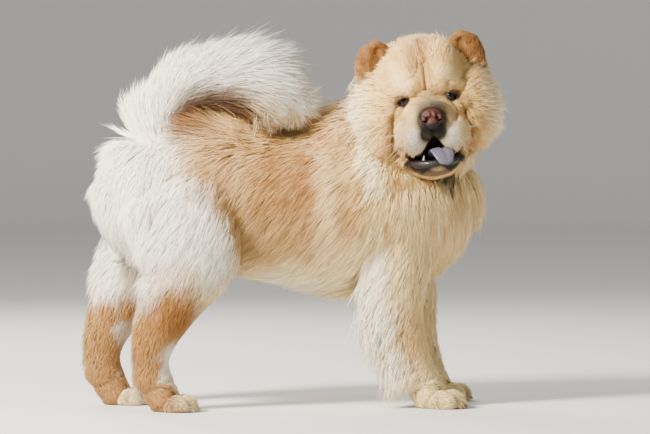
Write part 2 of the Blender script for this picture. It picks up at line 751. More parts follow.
# %% Markings of legs, toes and tail
def leg_colours(c, p, s, x, z):
    """Cream fore legs with a white back, orange brown shanks and cream feet."""
    fore, rear = s["kind"] == FORE_KIND, s["kind"] == HIND_KIND
    ahead = x - s["centre"][:, 0]
    c = mix(c, CREAM, fore * 0.9)
    c = spotted(c, p, ((APRICOT, (0.190, 0, 0.135), (0.05, 0.4, 0.09), 1, 0.55),), fore)
    c = mix(c, WHITE, fore * (1 - ramp(ahead, -0.03, 0.000)) * 0.7)
    low = 1 - ramp(z, 0.045, 0.085)
    front = ramp(ahead / s["width"], 0.30, 1.10)
    c = mix(c, CREAM, low * 0.85 * (fore | rear))
    hind = rear * (1 - ramp(z - ahead * 0.5 + ripple(p, 0.05, 16) * 0.010, 0.190, 0.250))
    c = spotted(c, p, ((APRICOT, (-0.215, 0, 0.245), (0.070, 0.4, 0.045), 1, 0.45),), rear)
    c = mix(c, TAN, hind * (1 - (0.75 + 0.20 * low) * front))
    c = spotted(c, p, ((ORANGE, (-0.228, 0, 0.178), (0.080, 0.4, 0.066), 1, 0.75),), rear)
    on_shank = (
        (RUST, (-0.220, 0, 0.170), (0.040, 0.4, 0.040), 1, 0.35),
        (ORANGE, (-0.285, 0, 0.125), (0.03, 0.4, 0.055), 1, 0.55),
    )
    return spotted(c, p, on_shank, hind)


def toe_colours(c, p):
    """Dark lines between the toes, laid on from above."""
    for paw in PAWS.values():
        toes = mirrored((p - np.array(paw.translation)) @ np.array(paw.to_3x3().inverted()).T) * FROM_ABOVE
        reached = (p[:, 2] < 0.040) * (np.abs(toes[:, 0]) < 0.09) * (toes[:, 1] < 0.04)
        for path, _, _ in TOE_CREASES:
            c = mix(c, TOE_LINE, groove_at(toes, np.array(path) * FROM_ABOVE, 0.0030) * 0.85 * reached)
    return c


def tail_colours(c, p, s):
    """A white tail, cream below, with a dark hollow where it curls over the back."""
    trunk, tail = s["kind"] == TRUNK_KIND, s["kind"] == TAIL_KIND
    under = ramp(-unit(p - s["centre"])[:, 2], 0.0, 0.8) * ramp(p[:, 0], -0.20, -0.13)
    c = mix(mix(c, WHITE, tail * 1.0), linear(0.93, 0.80, 0.58), tail * under * 0.85)
    place, radius = (-0.160, -0.03, 0.500), (0.090, 0.14, 0.062)
    hollow = ((RUST, place, radius, 1.6, 0.8), (UMBER, place, radius, 1, 0.75))
    c = spotted(c, p, hollow, tail | (p[:, 2] > 0.43))
    on_belly = (
        (RUST, (-0.095, 0, 0.235), (0.045, 0.3, 0.035), 1, 0.55),
        (WHITE, (0.02, 0, 0.225), (0.10, 0.3, 0.045), 1, 0.5),
    )
    return spotted(c, p, on_belly, trunk)


def body_colours(p, s):
    """All markings but the face's. Their edges wander."""
    x = p[:, 0] + ripple(p, 0.16, 3) * 0.016 + ripple(p, 0.05, 6) * 0.008
    z = p[:, 2] + ripple(p, 0.12, 4) * 0.014 + ripple(p, 0.04, 7) * 0.006
    return tail_colours(toe_colours(leg_colours(trunk_colours(p, s, x, z), p, s, x, z), p), p, s)


# %% Spots and lines of the face
PARTING = ((0, 0, 0.002), (0, 0, 0.072))
FACE_LINES = (
    (PARTING, RUST, 0.0024, 0.60),
    (PARTING, ORANGE, 0.0070, 0.40),
    (CREASES[1][0], ORANGE, 0.0040, 0.40),
    (CREASES[2][0], ORANGE, 0.0075, 0.50),
    (CREASES[2][0], RUST, 0.0028, 0.60),
    (CREASES[3][0], TAN, 0.0050, 0.45),
)
# Brow, cheek, muzzle and its pale sides, bridge twice, round the nose, under it, eye and lids.
FACE_SPOTS = (
    (CREAM, (0.064, 0.034, 0.024), (0.03, 0.022, 0.018), 1, 0.75),
    (APRICOT, (0.045, 0.074, -0.060), (0.03, 0.014, 0.045), 1, 0.65),
    (linear(0.78, 0.66, 0.48), (0.095, 0.024, -0.070), (0.055, 0.044, 0.046), 1.3, 0.9),
    (linear(0.80, 0.76, 0.70), (0.105, 0.030, -0.078), (0.04, 0.022, 0.030), 1, 0.85),
    (linear(0.54, 0.44, 0.32), (0.092, 0, -0.018), (0.045, 0.036, 0.028), 1, 0.80),
    (linear(0.42, 0.37, 0.31), (0.106, 0, -0.024), (0.030, 0.036, 0.022), 1, 0.75),
    (linear(0.12, 0.10, 0.09), (0.116, 0.0, -0.046), (0.036, 0.037, 0.032), 1.8, 0.93),
    (linear(0.05, 0.045, 0.045), (0.116, 0.0, -0.070), (0.036, 0.033, 0.027), 1.8, 0.95),
    (linear(0.50, 0.33, 0.19), (0.060, 0.041, -0.011), (0.03, 0.022, 0.017), 1, 0.80),
    (linear(0.09, 0.06, 0.05), (0.064, 0.0415, -0.0115), (0.02, 0.0185, 0.0125), 1.5, 0.97),
)


# %% Colours of the head
def face_colours(q):
    """Markings of the head, in its own frame."""
    folded = mirrored(q)
    x, y, z = folded.T
    c = mix(np.tile(linear(0.88, 0.72, 0.45), (len(q), 1)), APRICOT, ripple(q, 0.04, 12) * 0.45 + 0.15)
    c = mix(c, CREAM, ripple(q, 0.05, 14) * 0.6)
    c = spotted(c, q, ((APRICOT, (0.06, 0, 0.045), (0.06, 0.026, 0.06), 1, 0.65),))
    for path, tone, width, amount in FACE_LINES:
        c = mix(c, tone, groove_at(folded * FROM_FRONT, path, width) * amount * (x > FACE_STARTS))
    c = mix(spotted(c, folded, FACE_SPOTS), PALE, ramp(y, 0.070, 0.092) * 0.8)
    ear = ear_share(q)
    c = mix(c, ORANGE * 0.85, ear * 0.97)
    c = mix(c, RUST, ear * (0.25 + 0.45 * ramp(y, 0.086, 0.104)))
    c = mix(c, TAN, ear * (ripple(q, 0.02, 17) * 0.35 + 0.1))
    throat = np.maximum(-z - 0.124, 0) * 1.2
    chin = ramp(-z, 0.108, 0.113) * ramp(x - throat, 0.030, 0.046) * (y < 0.054)
    c = mix(c, linear(0.20, 0.14, 0.12), chin * (1 - ramp(-z, 0.146, 0.152)) * 0.85)
    c = mix(c, LIP, chin * (1 - ramp(-z, 0.128, 0.136)))
    c = spotted(c, q, ((linear(0.80, 0.68, 0.50), (0.096, 0.003, -0.1310), (0.016, 0.022, 0.0055), 1, 1),))
    c = mix(c, LIP, lip_share(q) * 0.97)
    inside = (y < 0.032) & (z < -0.072) & (z > -0.124) & (x < 0.096) & (x > 0.0)
    return mix(c, linear(0.09, 0.06, 0.06), inside * 0.93)


def colours(p, s):
    c = body_colours(p, s)
    on_head = s["kind"] == HEAD_KIND
    c[on_head] = face_colours(s["q"])[on_head]
    return mix(c, PALE, on_head * (1 - ramp(s["q"][:, 0], -0.03, 0.004) * on_head) * 0.6)


# %% [markdown]
# ## The skin as one piece
#
# The skin carries its colours as an attribute, so the shader can read them at every point. It
# takes the place of all nodes of flesh, and it also gets an unwrap, which later tells every tuft
# where it grows.

# %% Skin object with its colours and unwrap
skin_mesh.transform(TO_WORLD)
skin = link(skin_mesh, "skin")
shift = np.array(SHIFT)
skin_points = coords(skin_mesh) - shift
skin_colours = colours(skin_points, survey(skin_points))


def paint(mesh, colour):
    """Colours stored on the points of a mesh."""
    layer = mesh.color_attributes.new("coat", "FLOAT_COLOR", "POINT")
    rgba = np.concatenate((np.clip(colour, 0, 1), np.ones((len(colour), 1))), axis=1)
    layer.data.foreach_set("color", rgba.astype(np.float32).ravel())


UNDERCOAT_SHADE = 0.82  # the skin lies in the shadow of the hair
paint(skin_mesh, skin_colours * UNDERCOAT_SHADE)
smooth(skin_mesh)
bpy.context.view_layer.objects.active = skin
skin.select_set(True)
bpy.ops.object.mode_set(mode="EDIT")
bpy.ops.mesh.select_all(action="SELECT")
bpy.ops.uv.smart_project(angle_limit=math.radians(70), island_margin=0.001)
bpy.ops.object.mode_set(mode="OBJECT")
skin_mesh.uv_layers[0].name = "UVMap"
print("skin", len(skin_mesh.polygons), "faces, unwrapped")

# %% [markdown]
# ## Tufts
#
# A tuft here is a slim closed spindle: a root point inside the skin, one three-sided ring and a
# tip, six triangles in all. The long tufts of the tail get a second ring, so that they can curve.
# Each spine leaves the skin at a slant and then follows the lie of the coat. All tufts of a
# region are built together as arrays, which is far quicker than one object each, and the meshes
# stay plain for export.

# %% Triangles of the skin, in an order that is the same in every run
skin_mesh.calc_loop_triangles()
corner_index = read(skin_mesh.loop_triangles, "vertices", 3, np.int64)
loop_index = read(skin_mesh.loop_triangles, "loops", 3, np.int64)
skin_uv = read(skin_mesh.uv_layers[0].data, "uv", 2)
skin_normals = vertex_normals(skin_mesh)
rounded = np.round(skin_points[corner_index], 6)
SLANT = np.array((1.0, 1.37, 2.11))  # along no edge, so that one corner always comes first
turn = ((rounded @ SLANT).argmin(axis=1)[:, None] + np.arange(3)) % 3
order = np.lexsort(np.take_along_axis(rounded, turn[:, :1, None], axis=1)[:, 0].T)
order = order[np.lexsort(np.round(rounded[order].mean(axis=1), 6).T)]
corner_index = np.take_along_axis(corner_index, turn, axis=1)[order]
loop_index = np.take_along_axis(loop_index, turn, axis=1)[order]
corners = skin_points[corner_index]
edges = corners[:, 1:] - corners[:, :1]
areas = np.linalg.norm(np.cross(edges[:, 0], edges[:, 1]), axis=1) / 2
print("triangles", len(areas), "area", float(areas.sum()))


# %% Roots spread over the skin
def scatter(density, seed):
    """Random roots on the skin's triangles, in proportion to area times density."""
    rng = np.random.default_rng(seed)
    expected = areas * density
    counts = np.floor(expected + rng.random(len(expected))).astype(int)
    pick = np.repeat(np.arange(len(expected)), counts)
    u, v = rng.random(len(pick)), rng.random(len(pick))
    over = u + v > 1
    u[over], v[over] = 1 - u[over], 1 - v[over]
    weight = np.stack((1 - u - v, u, v), axis=1)[:, :, None]
    points = (corners[pick] * weight).sum(axis=1)
    normals = (skin_normals[corner_index[pick]] * weight).sum(axis=1)
    normals /= np.linalg.norm(normals, axis=1)[:, None]
    uv = (skin_uv[loop_index[pick]] * weight).sum(axis=1)
    return points, normals, uv, rng


# %% [markdown]
# ### The lie of the coat
#
# Hair on the trunk lies back and down, on the legs down, on the tail along the curl and outward,
# and in the mane it streams away from the face. On the face it starts at the nose and parts along
# the forehead.

# %% Lie, length and rise of the hair
FACE_CENTRE = np.array(HEAD_PLACE @ Vector((0.030, 0, -0.020)))
NOSE_CENTRE = np.array(HEAD_PLACE @ Vector((0.105, 0, -0.030)))


def nape_of(s):
    """1 on the neck just behind the ears."""
    return near(mirrored(s["q"]), (-0.045, 0.080, 0.030), (0.090, 0.075, 0.070)) * (s["kind"] <= NECK_KIND)


def dock_of(p, s):
    """1 at the root of the tail."""
    return (1 - ramp(p[:, 2], 0.465, 0.510)) * ramp(p[:, 0], -0.262, -0.235) * (s["kind"] == TAIL_KIND)


def lie_of(p, n, s):
    """The way the hair points."""
    rump = np.clip((-0.16 - p[:, 0]) / 0.08, 0, 1)
    flank = np.abs(n[:, 1])
    trunk = np.stack((-1 + 0.75 * rump, 0 * rump, -0.15 - 0.9 * np.maximum(flank, rump)), axis=1)
    away = unit(p - FACE_CENTRE)
    drop = np.clip(0.75 - away[:, 2], 0.25, 1.2)[:, None] + 1.2 * nape_of(s)[:, None]
    neck = away * 0.7 + np.array((-0.3, 0, -1.0)) * drop
    neck[:, 0] = np.minimum(neck[:, 0], 0.05)
    neck_share = ramp(p[:, 0], 0.08, 0.17)[:, None] * ramp(p[:, 2], 0.22, 0.32)[:, None]
    trunk = trunk * (1 - neck_share) + neck * neck_share
    below = np.clip(-n[:, 2:], 0, 1)
    dock = dock_of(p, s)[:, None]
    tail = s["way"] * (0.60 - 0.2 * below + 0.4 * dock)
    tail = tail + unit(p - s["centre"]) * (0.75 + 0.2 * below) * (1 - 0.8 * dock)
    leg = np.tile(np.array((-0.30, 0, -1.0)), (len(p), 1))
    leg[:, 0] -= np.clip((p[:, 2] - 0.12) / 0.15, 0, 1) * 0.3
    leg[p[:, 2] < 0.05] = (0.9, 0, -0.45)
    head = unit(p - NOSE_CENTRE) + np.array((0, 0, -0.22))
    ear = ear_share(s["q"])[:, None] > 0.5
    head = np.where(ear, np.array(HEAD_PLACE.to_3x3() @ Vector((-0.2, 0, 1.0))), head)
    lie = leg
    for kind, way in ((TRUNK_KIND, trunk), (NECK_KIND, neck), (TAIL_KIND, tail), (HEAD_KIND, head)):
        lie = np.where(s["kind"][:, None] == kind, way, lie)
    return lie


def combed(rise, length, rules):
    """Each rule says where, what share it takes off rise and length, and what it adds to them."""
    for where, less_rise, less_length, more_rise, more_length in rules:
        rise = rise * (1 - less_rise * where) + more_rise * where
        length = length * (1 - less_length * where) + more_length * where
    return rise, length


# %% Hair of tail and trunk
def tail_and_trunk_fur(p, n, s):
    """Rise and length by depth of coat, then by rules from the tail's tip to the chest."""
    x, z = p[:, 0], p[:, 2]
    tail, trunk, body = s["kind"] == TAIL_KIND, s["kind"] == TRUNK_KIND, s["kind"] <= NECK_KIND
    below = np.clip(-n[:, 2], 0, 1)
    rise = s["depth"] * np.where(tail, 0.70 + 0.55 * below, 1 - SKIN_SHARE)
    length = np.where(tail, rise + 0.018, rise * 1.5 + 0.016)
    fringe = np.clip(-n[:, 0] - 0.2, 0, 1) * tail * ramp(z, 0.455, 0.474) * (1 - ramp(z, 0.485, 0.525))
    on_tail = (
        (ramp(x, -0.10, -0.02) * tail, 0.30, 0.50, 0, 0),
        (ramp(-x, 0.12, 0.20) * tail, 0.30, 0.15, 0, 0),
        (dock_of(p, s), 0.55, 0.25, 0, 0),
        (fringe, 0, 0, 0.026, 0.012),
        ((1 - ramp(z, 0.448, 0.466)) * tail * (x < -0.2), 0.7, 0.6, 0, 0),
        (below * tail * ramp(x, -0.14, -0.08), 0.42, 0.55, 0, 0),
    )
    on_body = (
        (near(p, (-0.270, 0, 0.430), (0.050, 0.08, 0.045)) * trunk, 0, 0, 0.034, 0),
        (nape_of(s), 0.90, 0.62, 0, 0),
        (ramp(-x, 0.27, 0.32) * trunk, 0.55, 0.35, 0, 0),
        (near(p, (0.085, -0.01, 0.500), (0.080, 0.14, 0.080)) * body, 0, 0, 0.024, 0),
        (near(p, (-0.115, 0, 0.455), (0.130, 0.10, 0.055)) * trunk, 0, 0, 0.052, 0.016),
        (ramp(x, 0.17, 0.25) * body, 0.45, 0.15, 0, 0),
        (below * trunk * (z < 0.30), 0, 0, 0, 0.010),
    )
    return combed(rise, length, on_tail + on_body)


# %% Hair of legs and head
def leg_fur(rise, p, n, s):
    """Short on the shins, long on breeches and feathers, shortest on the feet."""
    x, z = p[:, 0], p[:, 2]
    fore, hind = s["kind"] == FORE_KIND, s["kind"] == HIND_KIND
    leg = fore | hind
    back = np.clip(-n[:, 0], 0, 1)
    feather = np.where(fore, 0.064, 0.014) * (back * leg * ramp(z, 0.038, 0.070)) * (1 - ramp(z, 0.20, 0.27))
    shin = np.clip(n[:, 0], 0, 1) * leg * ramp(0.26 - z, 0.0, 0.08)
    far = fore & (p[:, 1] > 0)
    rules = (
        (shin, np.where(far, -0.6, 0.9), np.where(far, -0.1, 0.4), 0, 0),
        (back * hind * ramp(z, 0.20, 0.25) * (1 - ramp(z, 0.30, 0.35)), 0, 0, 0.024, 0.006),
        (ramp(0.100 - z, 0.0, 0.050) * leg, 1, 1, 0.0058, 0.0135),
        (feather, 0, 0, 0.9, 0.6),
    )
    return combed(rise, rise * 1.5 + 0.010, rules)


SHORT_ON_FACE = (  # muzzle, eye, forehead and chin
    ((0.095, 0.0, -0.060), (0.075, 0.074, 0.064), 0.78),
    ((0.058, 0.040, -0.010), (0.03, 0.024, 0.020), 0.75),
    ((0.070, 0.0, 0.018), (0.05, 0.012, 0.040), 0.55),
    ((0.070, 0.025, -0.130), (0.065, 0.055, 0.034), 0.82),
)


def head_fur(q):
    """Rise and length on the head: long in the ruff, short on the face, plush on the ears."""
    folded = mirrored(q)
    x, y, z = folded.T
    ruff = 0.022 * ramp(y, 0.055, 0.088) + 0.016 * ramp(-x, -0.03, 0.02)
    hair = 0.023 + ruff + 0.015 * ramp(z, 0.03, 0.07)
    hair = np.minimum(hair, 0.046) - 0.011 * ramp(x, 0.045, 0.070)
    for place, radius, share in SHORT_ON_FACE:
        hair = hair * (1 - share * near(folded, place, radius))
    ear = ear_share(q)
    hair = np.where(on_ear(q) & (z > 0.045) & (y > 0.05), np.minimum(hair, 0.013), hair)
    back_of_ear = x < np.interp(z, EAR_ROWS[:, 2], EAR_ROWS[:, 0])
    hair = hair * (1 - ear) + np.where(back_of_ear, 0.012, 0.008) * (1 - 0.55 * ramp(z, 0.078, 0.096)) * ear
    hair = hair * (1 - 0.80 * near(folded, (0.0, 0.104, 0.028), (0.05, 0.042, 0.050)) * (1 - ear))
    hair = np.maximum(hair, 0.0032)
    stand = hair * (0.40 + 0.18 * ramp(y, 0.06, 0.09) + 0.12 * ramp(z, 0.04, 0.07)) * (1 - 0.3 * ear)
    return stand, hair


def fur_of(p, n, s):
    """Length of the hair and how far its tips stand off the skin."""
    rise, length = tail_and_trunk_fur(p, n, s)
    on_leg = (s["kind"] == FORE_KIND) | (s["kind"] == HIND_KIND)
    for here, (stand, hair) in ((on_leg, leg_fur(rise, p, n, s)), (s["kind"] == HEAD_KIND, head_fur(s["q"]))):
        rise = np.where(here, stand, rise)
        length = np.where(here, hair, length)
    return length, rise


# %% Bare places
def bare(s):
    """Lips, nose seat, lids and the mouth grow no tufts."""
    q = s["q"]
    folded = mirrored(q)
    x, y, z = folded.T
    lips = (lip_share(q) > 0.4) & (z > -0.1265)
    inside = (y < 0.034) & (z < -0.076) & (z > -0.124) & (x < 0.088) & (x > 0.0)
    nose = near(folded, NOSE_AT, (0.028, 0.027, 0.025)) > 0.30
    lids = near(folded, (0.064, 0.0405, -0.0105), (0.024, 0.0140, 0.0090)) > 0.20
    return (s["kind"] == HEAD_KIND) & (lips | inside | nose | lids)


# %% Spindles from arrays
SHORT_BENDS = ((0.44, 0.62, 1.0),)
LONG_BENDS = ((0.34, 0.42, 1.0), (0.70, 0.80, 0.72))
SOFT_SHADE = 0.60  # how far a tuft is shaded as the skin below it
ROOT_DEPTH = 0.0012
PATCH = 0.0015  # half a tuft's patch on the bake map


def spindle_faces(rings):
    """Triangles of one tuft: a root point, rings of three points and a tip."""
    tip = 1 + 3 * rings
    pattern = [(0, 1, 2), (0, 2, 3), (0, 3, 1)]
    for first in range(1, tip - 3, 3):
        for a, b in ((0, 1), (1, 2), (2, 0)):
            a, b = a + first, b + first
            pattern += [(a, b + 3, b), (a, a + 3, b + 3)]
    last = tip - 3
    return pattern + [(last, tip, last + 1), (last + 1, tip, last + 2), (last + 2, tip, last)]


def spindles(name, bends, root, normal, way, length, rise, width, hug, droop, colour, uv, rng):
    """One mesh of closed tufts. A bend says how far along, how high and how wide a ring is."""
    count = len(root)
    flat = way - normal * (way * normal).sum(axis=1)[:, None]
    weak = np.linalg.norm(flat, axis=1) < 0.25
    flat[weak] = way[weak]
    flat = unit(flat)
    across = unit(np.cross(flat, normal))
    twist = rng.normal(0, 0.55, count)[:, None]
    broad = unit(across * np.cos(twist) + normal * np.sin(twist))
    up = unit(np.cross(broad, flat))
    up *= np.sign((up * normal).sum(axis=1))[:, None] + 1e-9
    sway = rng.normal(0, 0.10, count)[:, None]

    def spine(at, height):
        reach = (length * at)[:, None]
        point = root + flat * reach + across * sway * reach * at
        point = point + normal * ((rise * height)[:, None] - hug[:, None] * reach**2)
        return point - np.array((0, 0, 1.0)) * (reach**2 * droop[:, None])

    total = 2 + 3 * len(bends)
    points = np.empty((count, total, 3))
    points[:, 0] = root - normal * ROOT_DEPTH
    points[:, -1] = spine(1.0, 1.0)
    patch = [(0, -1)]
    along = [0.0]
    for ring, (at, height, size) in enumerate(bends):
        middle = spine(at, height)
        half = broad * (width * size / 2)[:, None]
        points[:, 1 + 3 * ring] = middle - half
        points[:, 2 + 3 * ring] = middle + half
        points[:, 3 + 3 * ring] = middle + up * (width * size * 0.45)[:, None]
        patch += [(-0.8, 2 * at - 1), (0.8, 2 * at - 1), (0, 2 * at - 0.8)]
        along += [at] * 3
    patch.append((0, 1))
    along.append(1.0)
    points[:, :, 2] = np.maximum(points[:, :, 2], SOLE)
    pattern = np.array(spindle_faces(len(bends)))
    faces = (pattern[None] + (np.arange(count) * total)[:, None, None]).reshape(-1)
    mesh = bpy.data.meshes.new(name)
    mesh.vertices.add(count * total)
    mesh.vertices.foreach_set("co", (points + shift).astype(np.float32).ravel())
    mesh.loops.add(len(faces))
    mesh.loops.foreach_set("vertex_index", faces.astype(np.int32))
    mesh.polygons.add(len(faces) // 3)
    mesh.polygons.foreach_set("loop_start", np.arange(0, len(faces), 3, dtype=np.int32))
    smooth(mesh)
    mesh.update(calc_edges=True)
    own = vertex_normals(mesh).reshape(count, total, 3)
    soft = own * (1 - SOFT_SHADE) + (normal[:, None, :] + flat[:, None, :] * 0.15) * SOFT_SHADE
    mesh.normals_split_custom_set_from_vertices(unit(soft.reshape(-1, 3)))
    shade = np.interp(along, (0.0, 0.34, 1.0), (0.80, 0.93, 1.06))
    tint = colour[:, None, :] * shade[None, :, None]
    paint(mesh, tint.reshape(-1, 3))
    spots = (uv[:, None, :] + np.array(patch)[None] * PATCH).reshape(-1, 2)
    layer = mesh.uv_layers.new(name="OFBake")
    layer.data.foreach_set("uv", spots[faces].astype(np.float32).ravel())
    return link(mesh, name)


# %% [markdown]
# ### Combing
#
# Real fur isn't even. Hairs gather in locks whose tips meet, the comb wanders a little from place
# to place, and the tint shifts from hair to hair. A few smooth waves bend the lie, and each tuft
# leans towards the middle of its lock.

# %% Roots, combing and tint for the whole coat
DENSITY = 190000  # tufts to a square metre


def density_of(p, s):
    """More and finer tufts on tail, face, ears and feet."""
    kind, q = s["kind"], s["q"]
    face = near(q, (0.07, 0, -0.03), (0.09, 0.10, 0.10))
    d = np.where(kind == TAIL_KIND, 1.35, 1.0)
    d = np.where(kind == HEAD_KIND, 1.6 + 2.4 * face, d)
    d = np.where((kind == HEAD_KIND) & (ear_share(q) > 0.3), 3.6, d)
    return np.where(((kind == FORE_KIND) | (kind == HIND_KIND)) & (p[:, 2] < 0.07), 2.6, d)


centres = corners.mean(axis=1)
centre_survey = survey(centres)
density = density_of(centres, centre_survey) * DENSITY
density[bare(centre_survey) | (centres[:, 2] < 0.002)] = 0
root, normal, root_uv, rng = scatter(density, 11)
facts = survey(root)
keep = ~bare(facts)
root, normal, root_uv = root[keep], normal[keep], root_uv[keep]
facts = {key: value[keep] for key, value in facts.items()}
on_head, on_tail = facts["kind"] == HEAD_KIND, facts["kind"] == TAIL_KIND
beside = np.abs(facts["q"][:, 1])
print("tufts", len(root))

# %% The comb wanders
lie = unit(lie_of(root, normal, facts))
calm = np.where(on_head, 0.45, 1.0)
for axis, seed in ((0, 21), (1, 22), (2, 23)):
    lie[:, axis] += (ripple(root, 0.045, seed) * 0.16 + ripple(root, 0.015, seed + 5) * 0.08) * calm
lie = unit(lie)
length, rise = fur_of(root, normal, facts)

# %% Locks
CELL = 0.014  # the size of a lock
wander = np.stack([ripple(root, 0.03, seed) for seed in (31, 32, 33)], axis=1)
cell = np.floor(root / CELL + 0.35 * wander).astype(int)
_, lock_of = np.unique(cell, axis=0, return_inverse=True)
lock_of = lock_of.ravel()
lock_count = lock_of.max() + 1
lock_middle = np.stack([np.bincount(lock_of, root[:, k], lock_count) for k in range(3)], axis=1)
lock_middle /= np.maximum(np.bincount(lock_of, minlength=lock_count), 1)[:, None]
gather = (lock_middle[lock_of] - root) / np.maximum(length, 0.012)[:, None]
clump = np.where(on_head, 0.10 + 0.14 * ramp(beside, 0.06, 0.09), 0.28)
clump[on_tail & (root[:, 2] < 0.50)] = 0.05
lie = unit(lie + gather * clump[:, None])
lock_rng = np.random.default_rng(5)
lock_tint = lock_rng.normal(0, 0.035, lock_count)[lock_of]
lock_stretch = lock_rng.uniform(0.88, 1.10, lock_count)[lock_of]
print("locks", lock_count)

# %% Each tuft's own length and tint
wisp = 1 + 0.35 * on_tail * (normal[:, 2] > 0) * rng.random(len(root)) ** 3
length = length * lock_stretch * rng.uniform(0.72, 1.10, len(root)) * wisp
rise = rise * lock_stretch * rng.uniform(0.55, 1.04, len(root))
spread = np.where(length < 0.015, 0.100, np.where(on_head, 0.075, 0.050))
tint = 1 + lock_tint + rng.normal(0, 1, len(root)) * spread
colour = colours(root, facts) * tint[:, None]
cushion = near(np.abs(facts["q"]) * np.array((1, 1, -1)), (0.105, 0.031, -0.076), (0.035, 0.020, 0.026))
speckled = (rng.random(len(root)) < 0.16 * cushion) & on_head
colour[speckled] *= 0.30
FLYAWAYS = 0.06
loose = ~on_head | ((beside > 0.075) & (facts["q"][:, 2] < 0.03))
loose &= (length > 0.02) & (root[:, 0] > -0.27)
loose &= ~on_tail | (normal[:, 2] > 0)
flyaway = (rng.random(len(root)) < FLYAWAYS) & loose
rise = rise * np.where(flyaway, 1.35, 1.0)
length = length * np.where(flyaway, 1.12, 1.0)

# %% Width of the tufts, and how they bend
width = np.clip(0.0008 + length * 0.009, 0.0008, 0.0015) * np.where(flyaway, 0.7, 1.0)
width = np.where(on_tail, width * 0.85, width)
width = np.where(on_head, np.clip(0.0006 + length * 0.026, 0.0007, 0.0016), width)
hug = np.where(on_head, 3.0, 0.30 / np.maximum(facts["width"] + 0.02, 0.05))
hug = np.where(on_tail, 0.0, hug)
droop = np.where(on_tail, 0.2, 1.2)
print("mean length", float(length.mean()), "flyaways", int(flyaway.sum()))

# %% [markdown]
# ### Coat pieces
#
# Each piece of coat stays under the size at which an export would thin it. The tufts of a kind
# are sorted along the dog and cut into equal runs.

# %% Coat pieces by region
PIECE_TRIANGLES = 190000
TUFTS = (root, normal, lie, length, rise, width, hug, droop, colour, root_uv)
coat_pieces = []
for kind, label in enumerate(KINDS):
    chosen = np.flatnonzero(facts["kind"] == kind)
    chosen = chosen[np.argsort(root[chosen, 0], kind="stable")]
    bends = LONG_BENDS if label == "tail" else SHORT_BENDS
    runs = max(1, math.ceil(len(chosen) * len(spindle_faces(len(bends))) / PIECE_TRIANGLES))
    for number, part in enumerate(np.array_split(chosen, runs)):
        coat_pieces.append(spindles(f"coat_{label}_{number + 1}", bends, *(v[part] for v in TUFTS), rng))
print("coat pieces", [(piece.name, len(piece.data.polygons)) for piece in coat_pieces])
print("coat triangles", sum(len(piece.data.polygons) for piece in coat_pieces))

# %% [markdown]
# ## Finishes
#
# Hair is matt with a faint silky sheen. Its colour comes from the attribute on each point, and a
# fine noise varies it further. Skin, lips and nose are smoother and a little wet, and lips, nose
# and tongue are beaded with a fine relief.

# %% Materials
def shader_of(name, roughness, specular=0.5, sheen=0.0, coat=0.0):
    material = bpy.data.materials.new(name)
    material.use_nodes = True
    shader = material.node_tree.nodes["Principled BSDF"]
    shader.inputs["Roughness"].default_value = roughness
    shader.inputs["Specular IOR Level"].default_value = specular
    shader.inputs["Sheen Weight"].default_value = sheen
    shader.inputs["Coat Weight"].default_value = coat
    shader.inputs["Coat Roughness"].default_value = 0.08
    return material, material.node_tree, shader


def textured(tree, kind, scale):
    """A texture node that reads Object coordinates."""
    place = tree.nodes.new("ShaderNodeTexCoord")
    texture = tree.nodes.new(kind)
    texture.inputs["Scale"].default_value = scale
    tree.links.new(place.outputs["Object"], texture.inputs["Vector"])
    return texture


def attribute_colour(tree, shader, noise_scale, amount):
    """The painted colour, varied by a fine noise."""
    attribute = tree.nodes.new("ShaderNodeAttribute")
    attribute.attribute_name = "coat"
    noise = textured(tree, "ShaderNodeTexNoise", noise_scale)
    noise.inputs["Detail"].default_value = 3
    limits = tree.nodes.new("ShaderNodeMapRange")
    limits.inputs["To Min"].default_value = 1 - amount
    limits.inputs["To Max"].default_value = 1 + amount
    tree.links.new(noise.outputs["Fac"], limits.inputs["Value"])
    scaled = tree.nodes.new("ShaderNodeVectorMath")
    scaled.operation = "SCALE"
    tree.links.new(attribute.outputs["Color"], scaled.inputs[0])
    tree.links.new(limits.outputs["Result"], scaled.inputs["Scale"])
    tree.links.new(scaled.outputs["Vector"], shader.inputs["Base Color"])
    return noise.outputs["Fac"]


def bumped(tree, shader, height, strength, distance):
    """Relief from a texture's value."""
    bump = tree.nodes.new("ShaderNodeBump")
    bump.inputs["Strength"].default_value = strength
    bump.inputs["Distance"].default_value = distance
    tree.links.new(height, bump.inputs["Height"])
    tree.links.new(bump.outputs["Normal"], shader.inputs["Normal"])


def finish(name, values, grain, beads=None):
    """A finish of painted colour with its grain, and beads of a scale, strength and distance."""
    material, tree, shader = shader_of(name, *values)
    attribute_colour(tree, shader, *grain)
    if beads:
        scale, strength, distance = beads
        texture = textured(tree, "ShaderNodeTexVoronoi", scale)
        bumped(tree, shader, texture.outputs["Distance"], strength, distance)
    return material


def finished(piece, material):
    """The piece with this one material, shaded smooth."""
    piece.data.materials.clear()
    piece.data.materials.append(material)
    smooth(piece.data)


def painted(mesh, red, green, blue):
    """One colour on all points of a mesh."""
    paint(mesh, np.tile(linear(red, green, blue), (len(mesh.vertices), 1)))


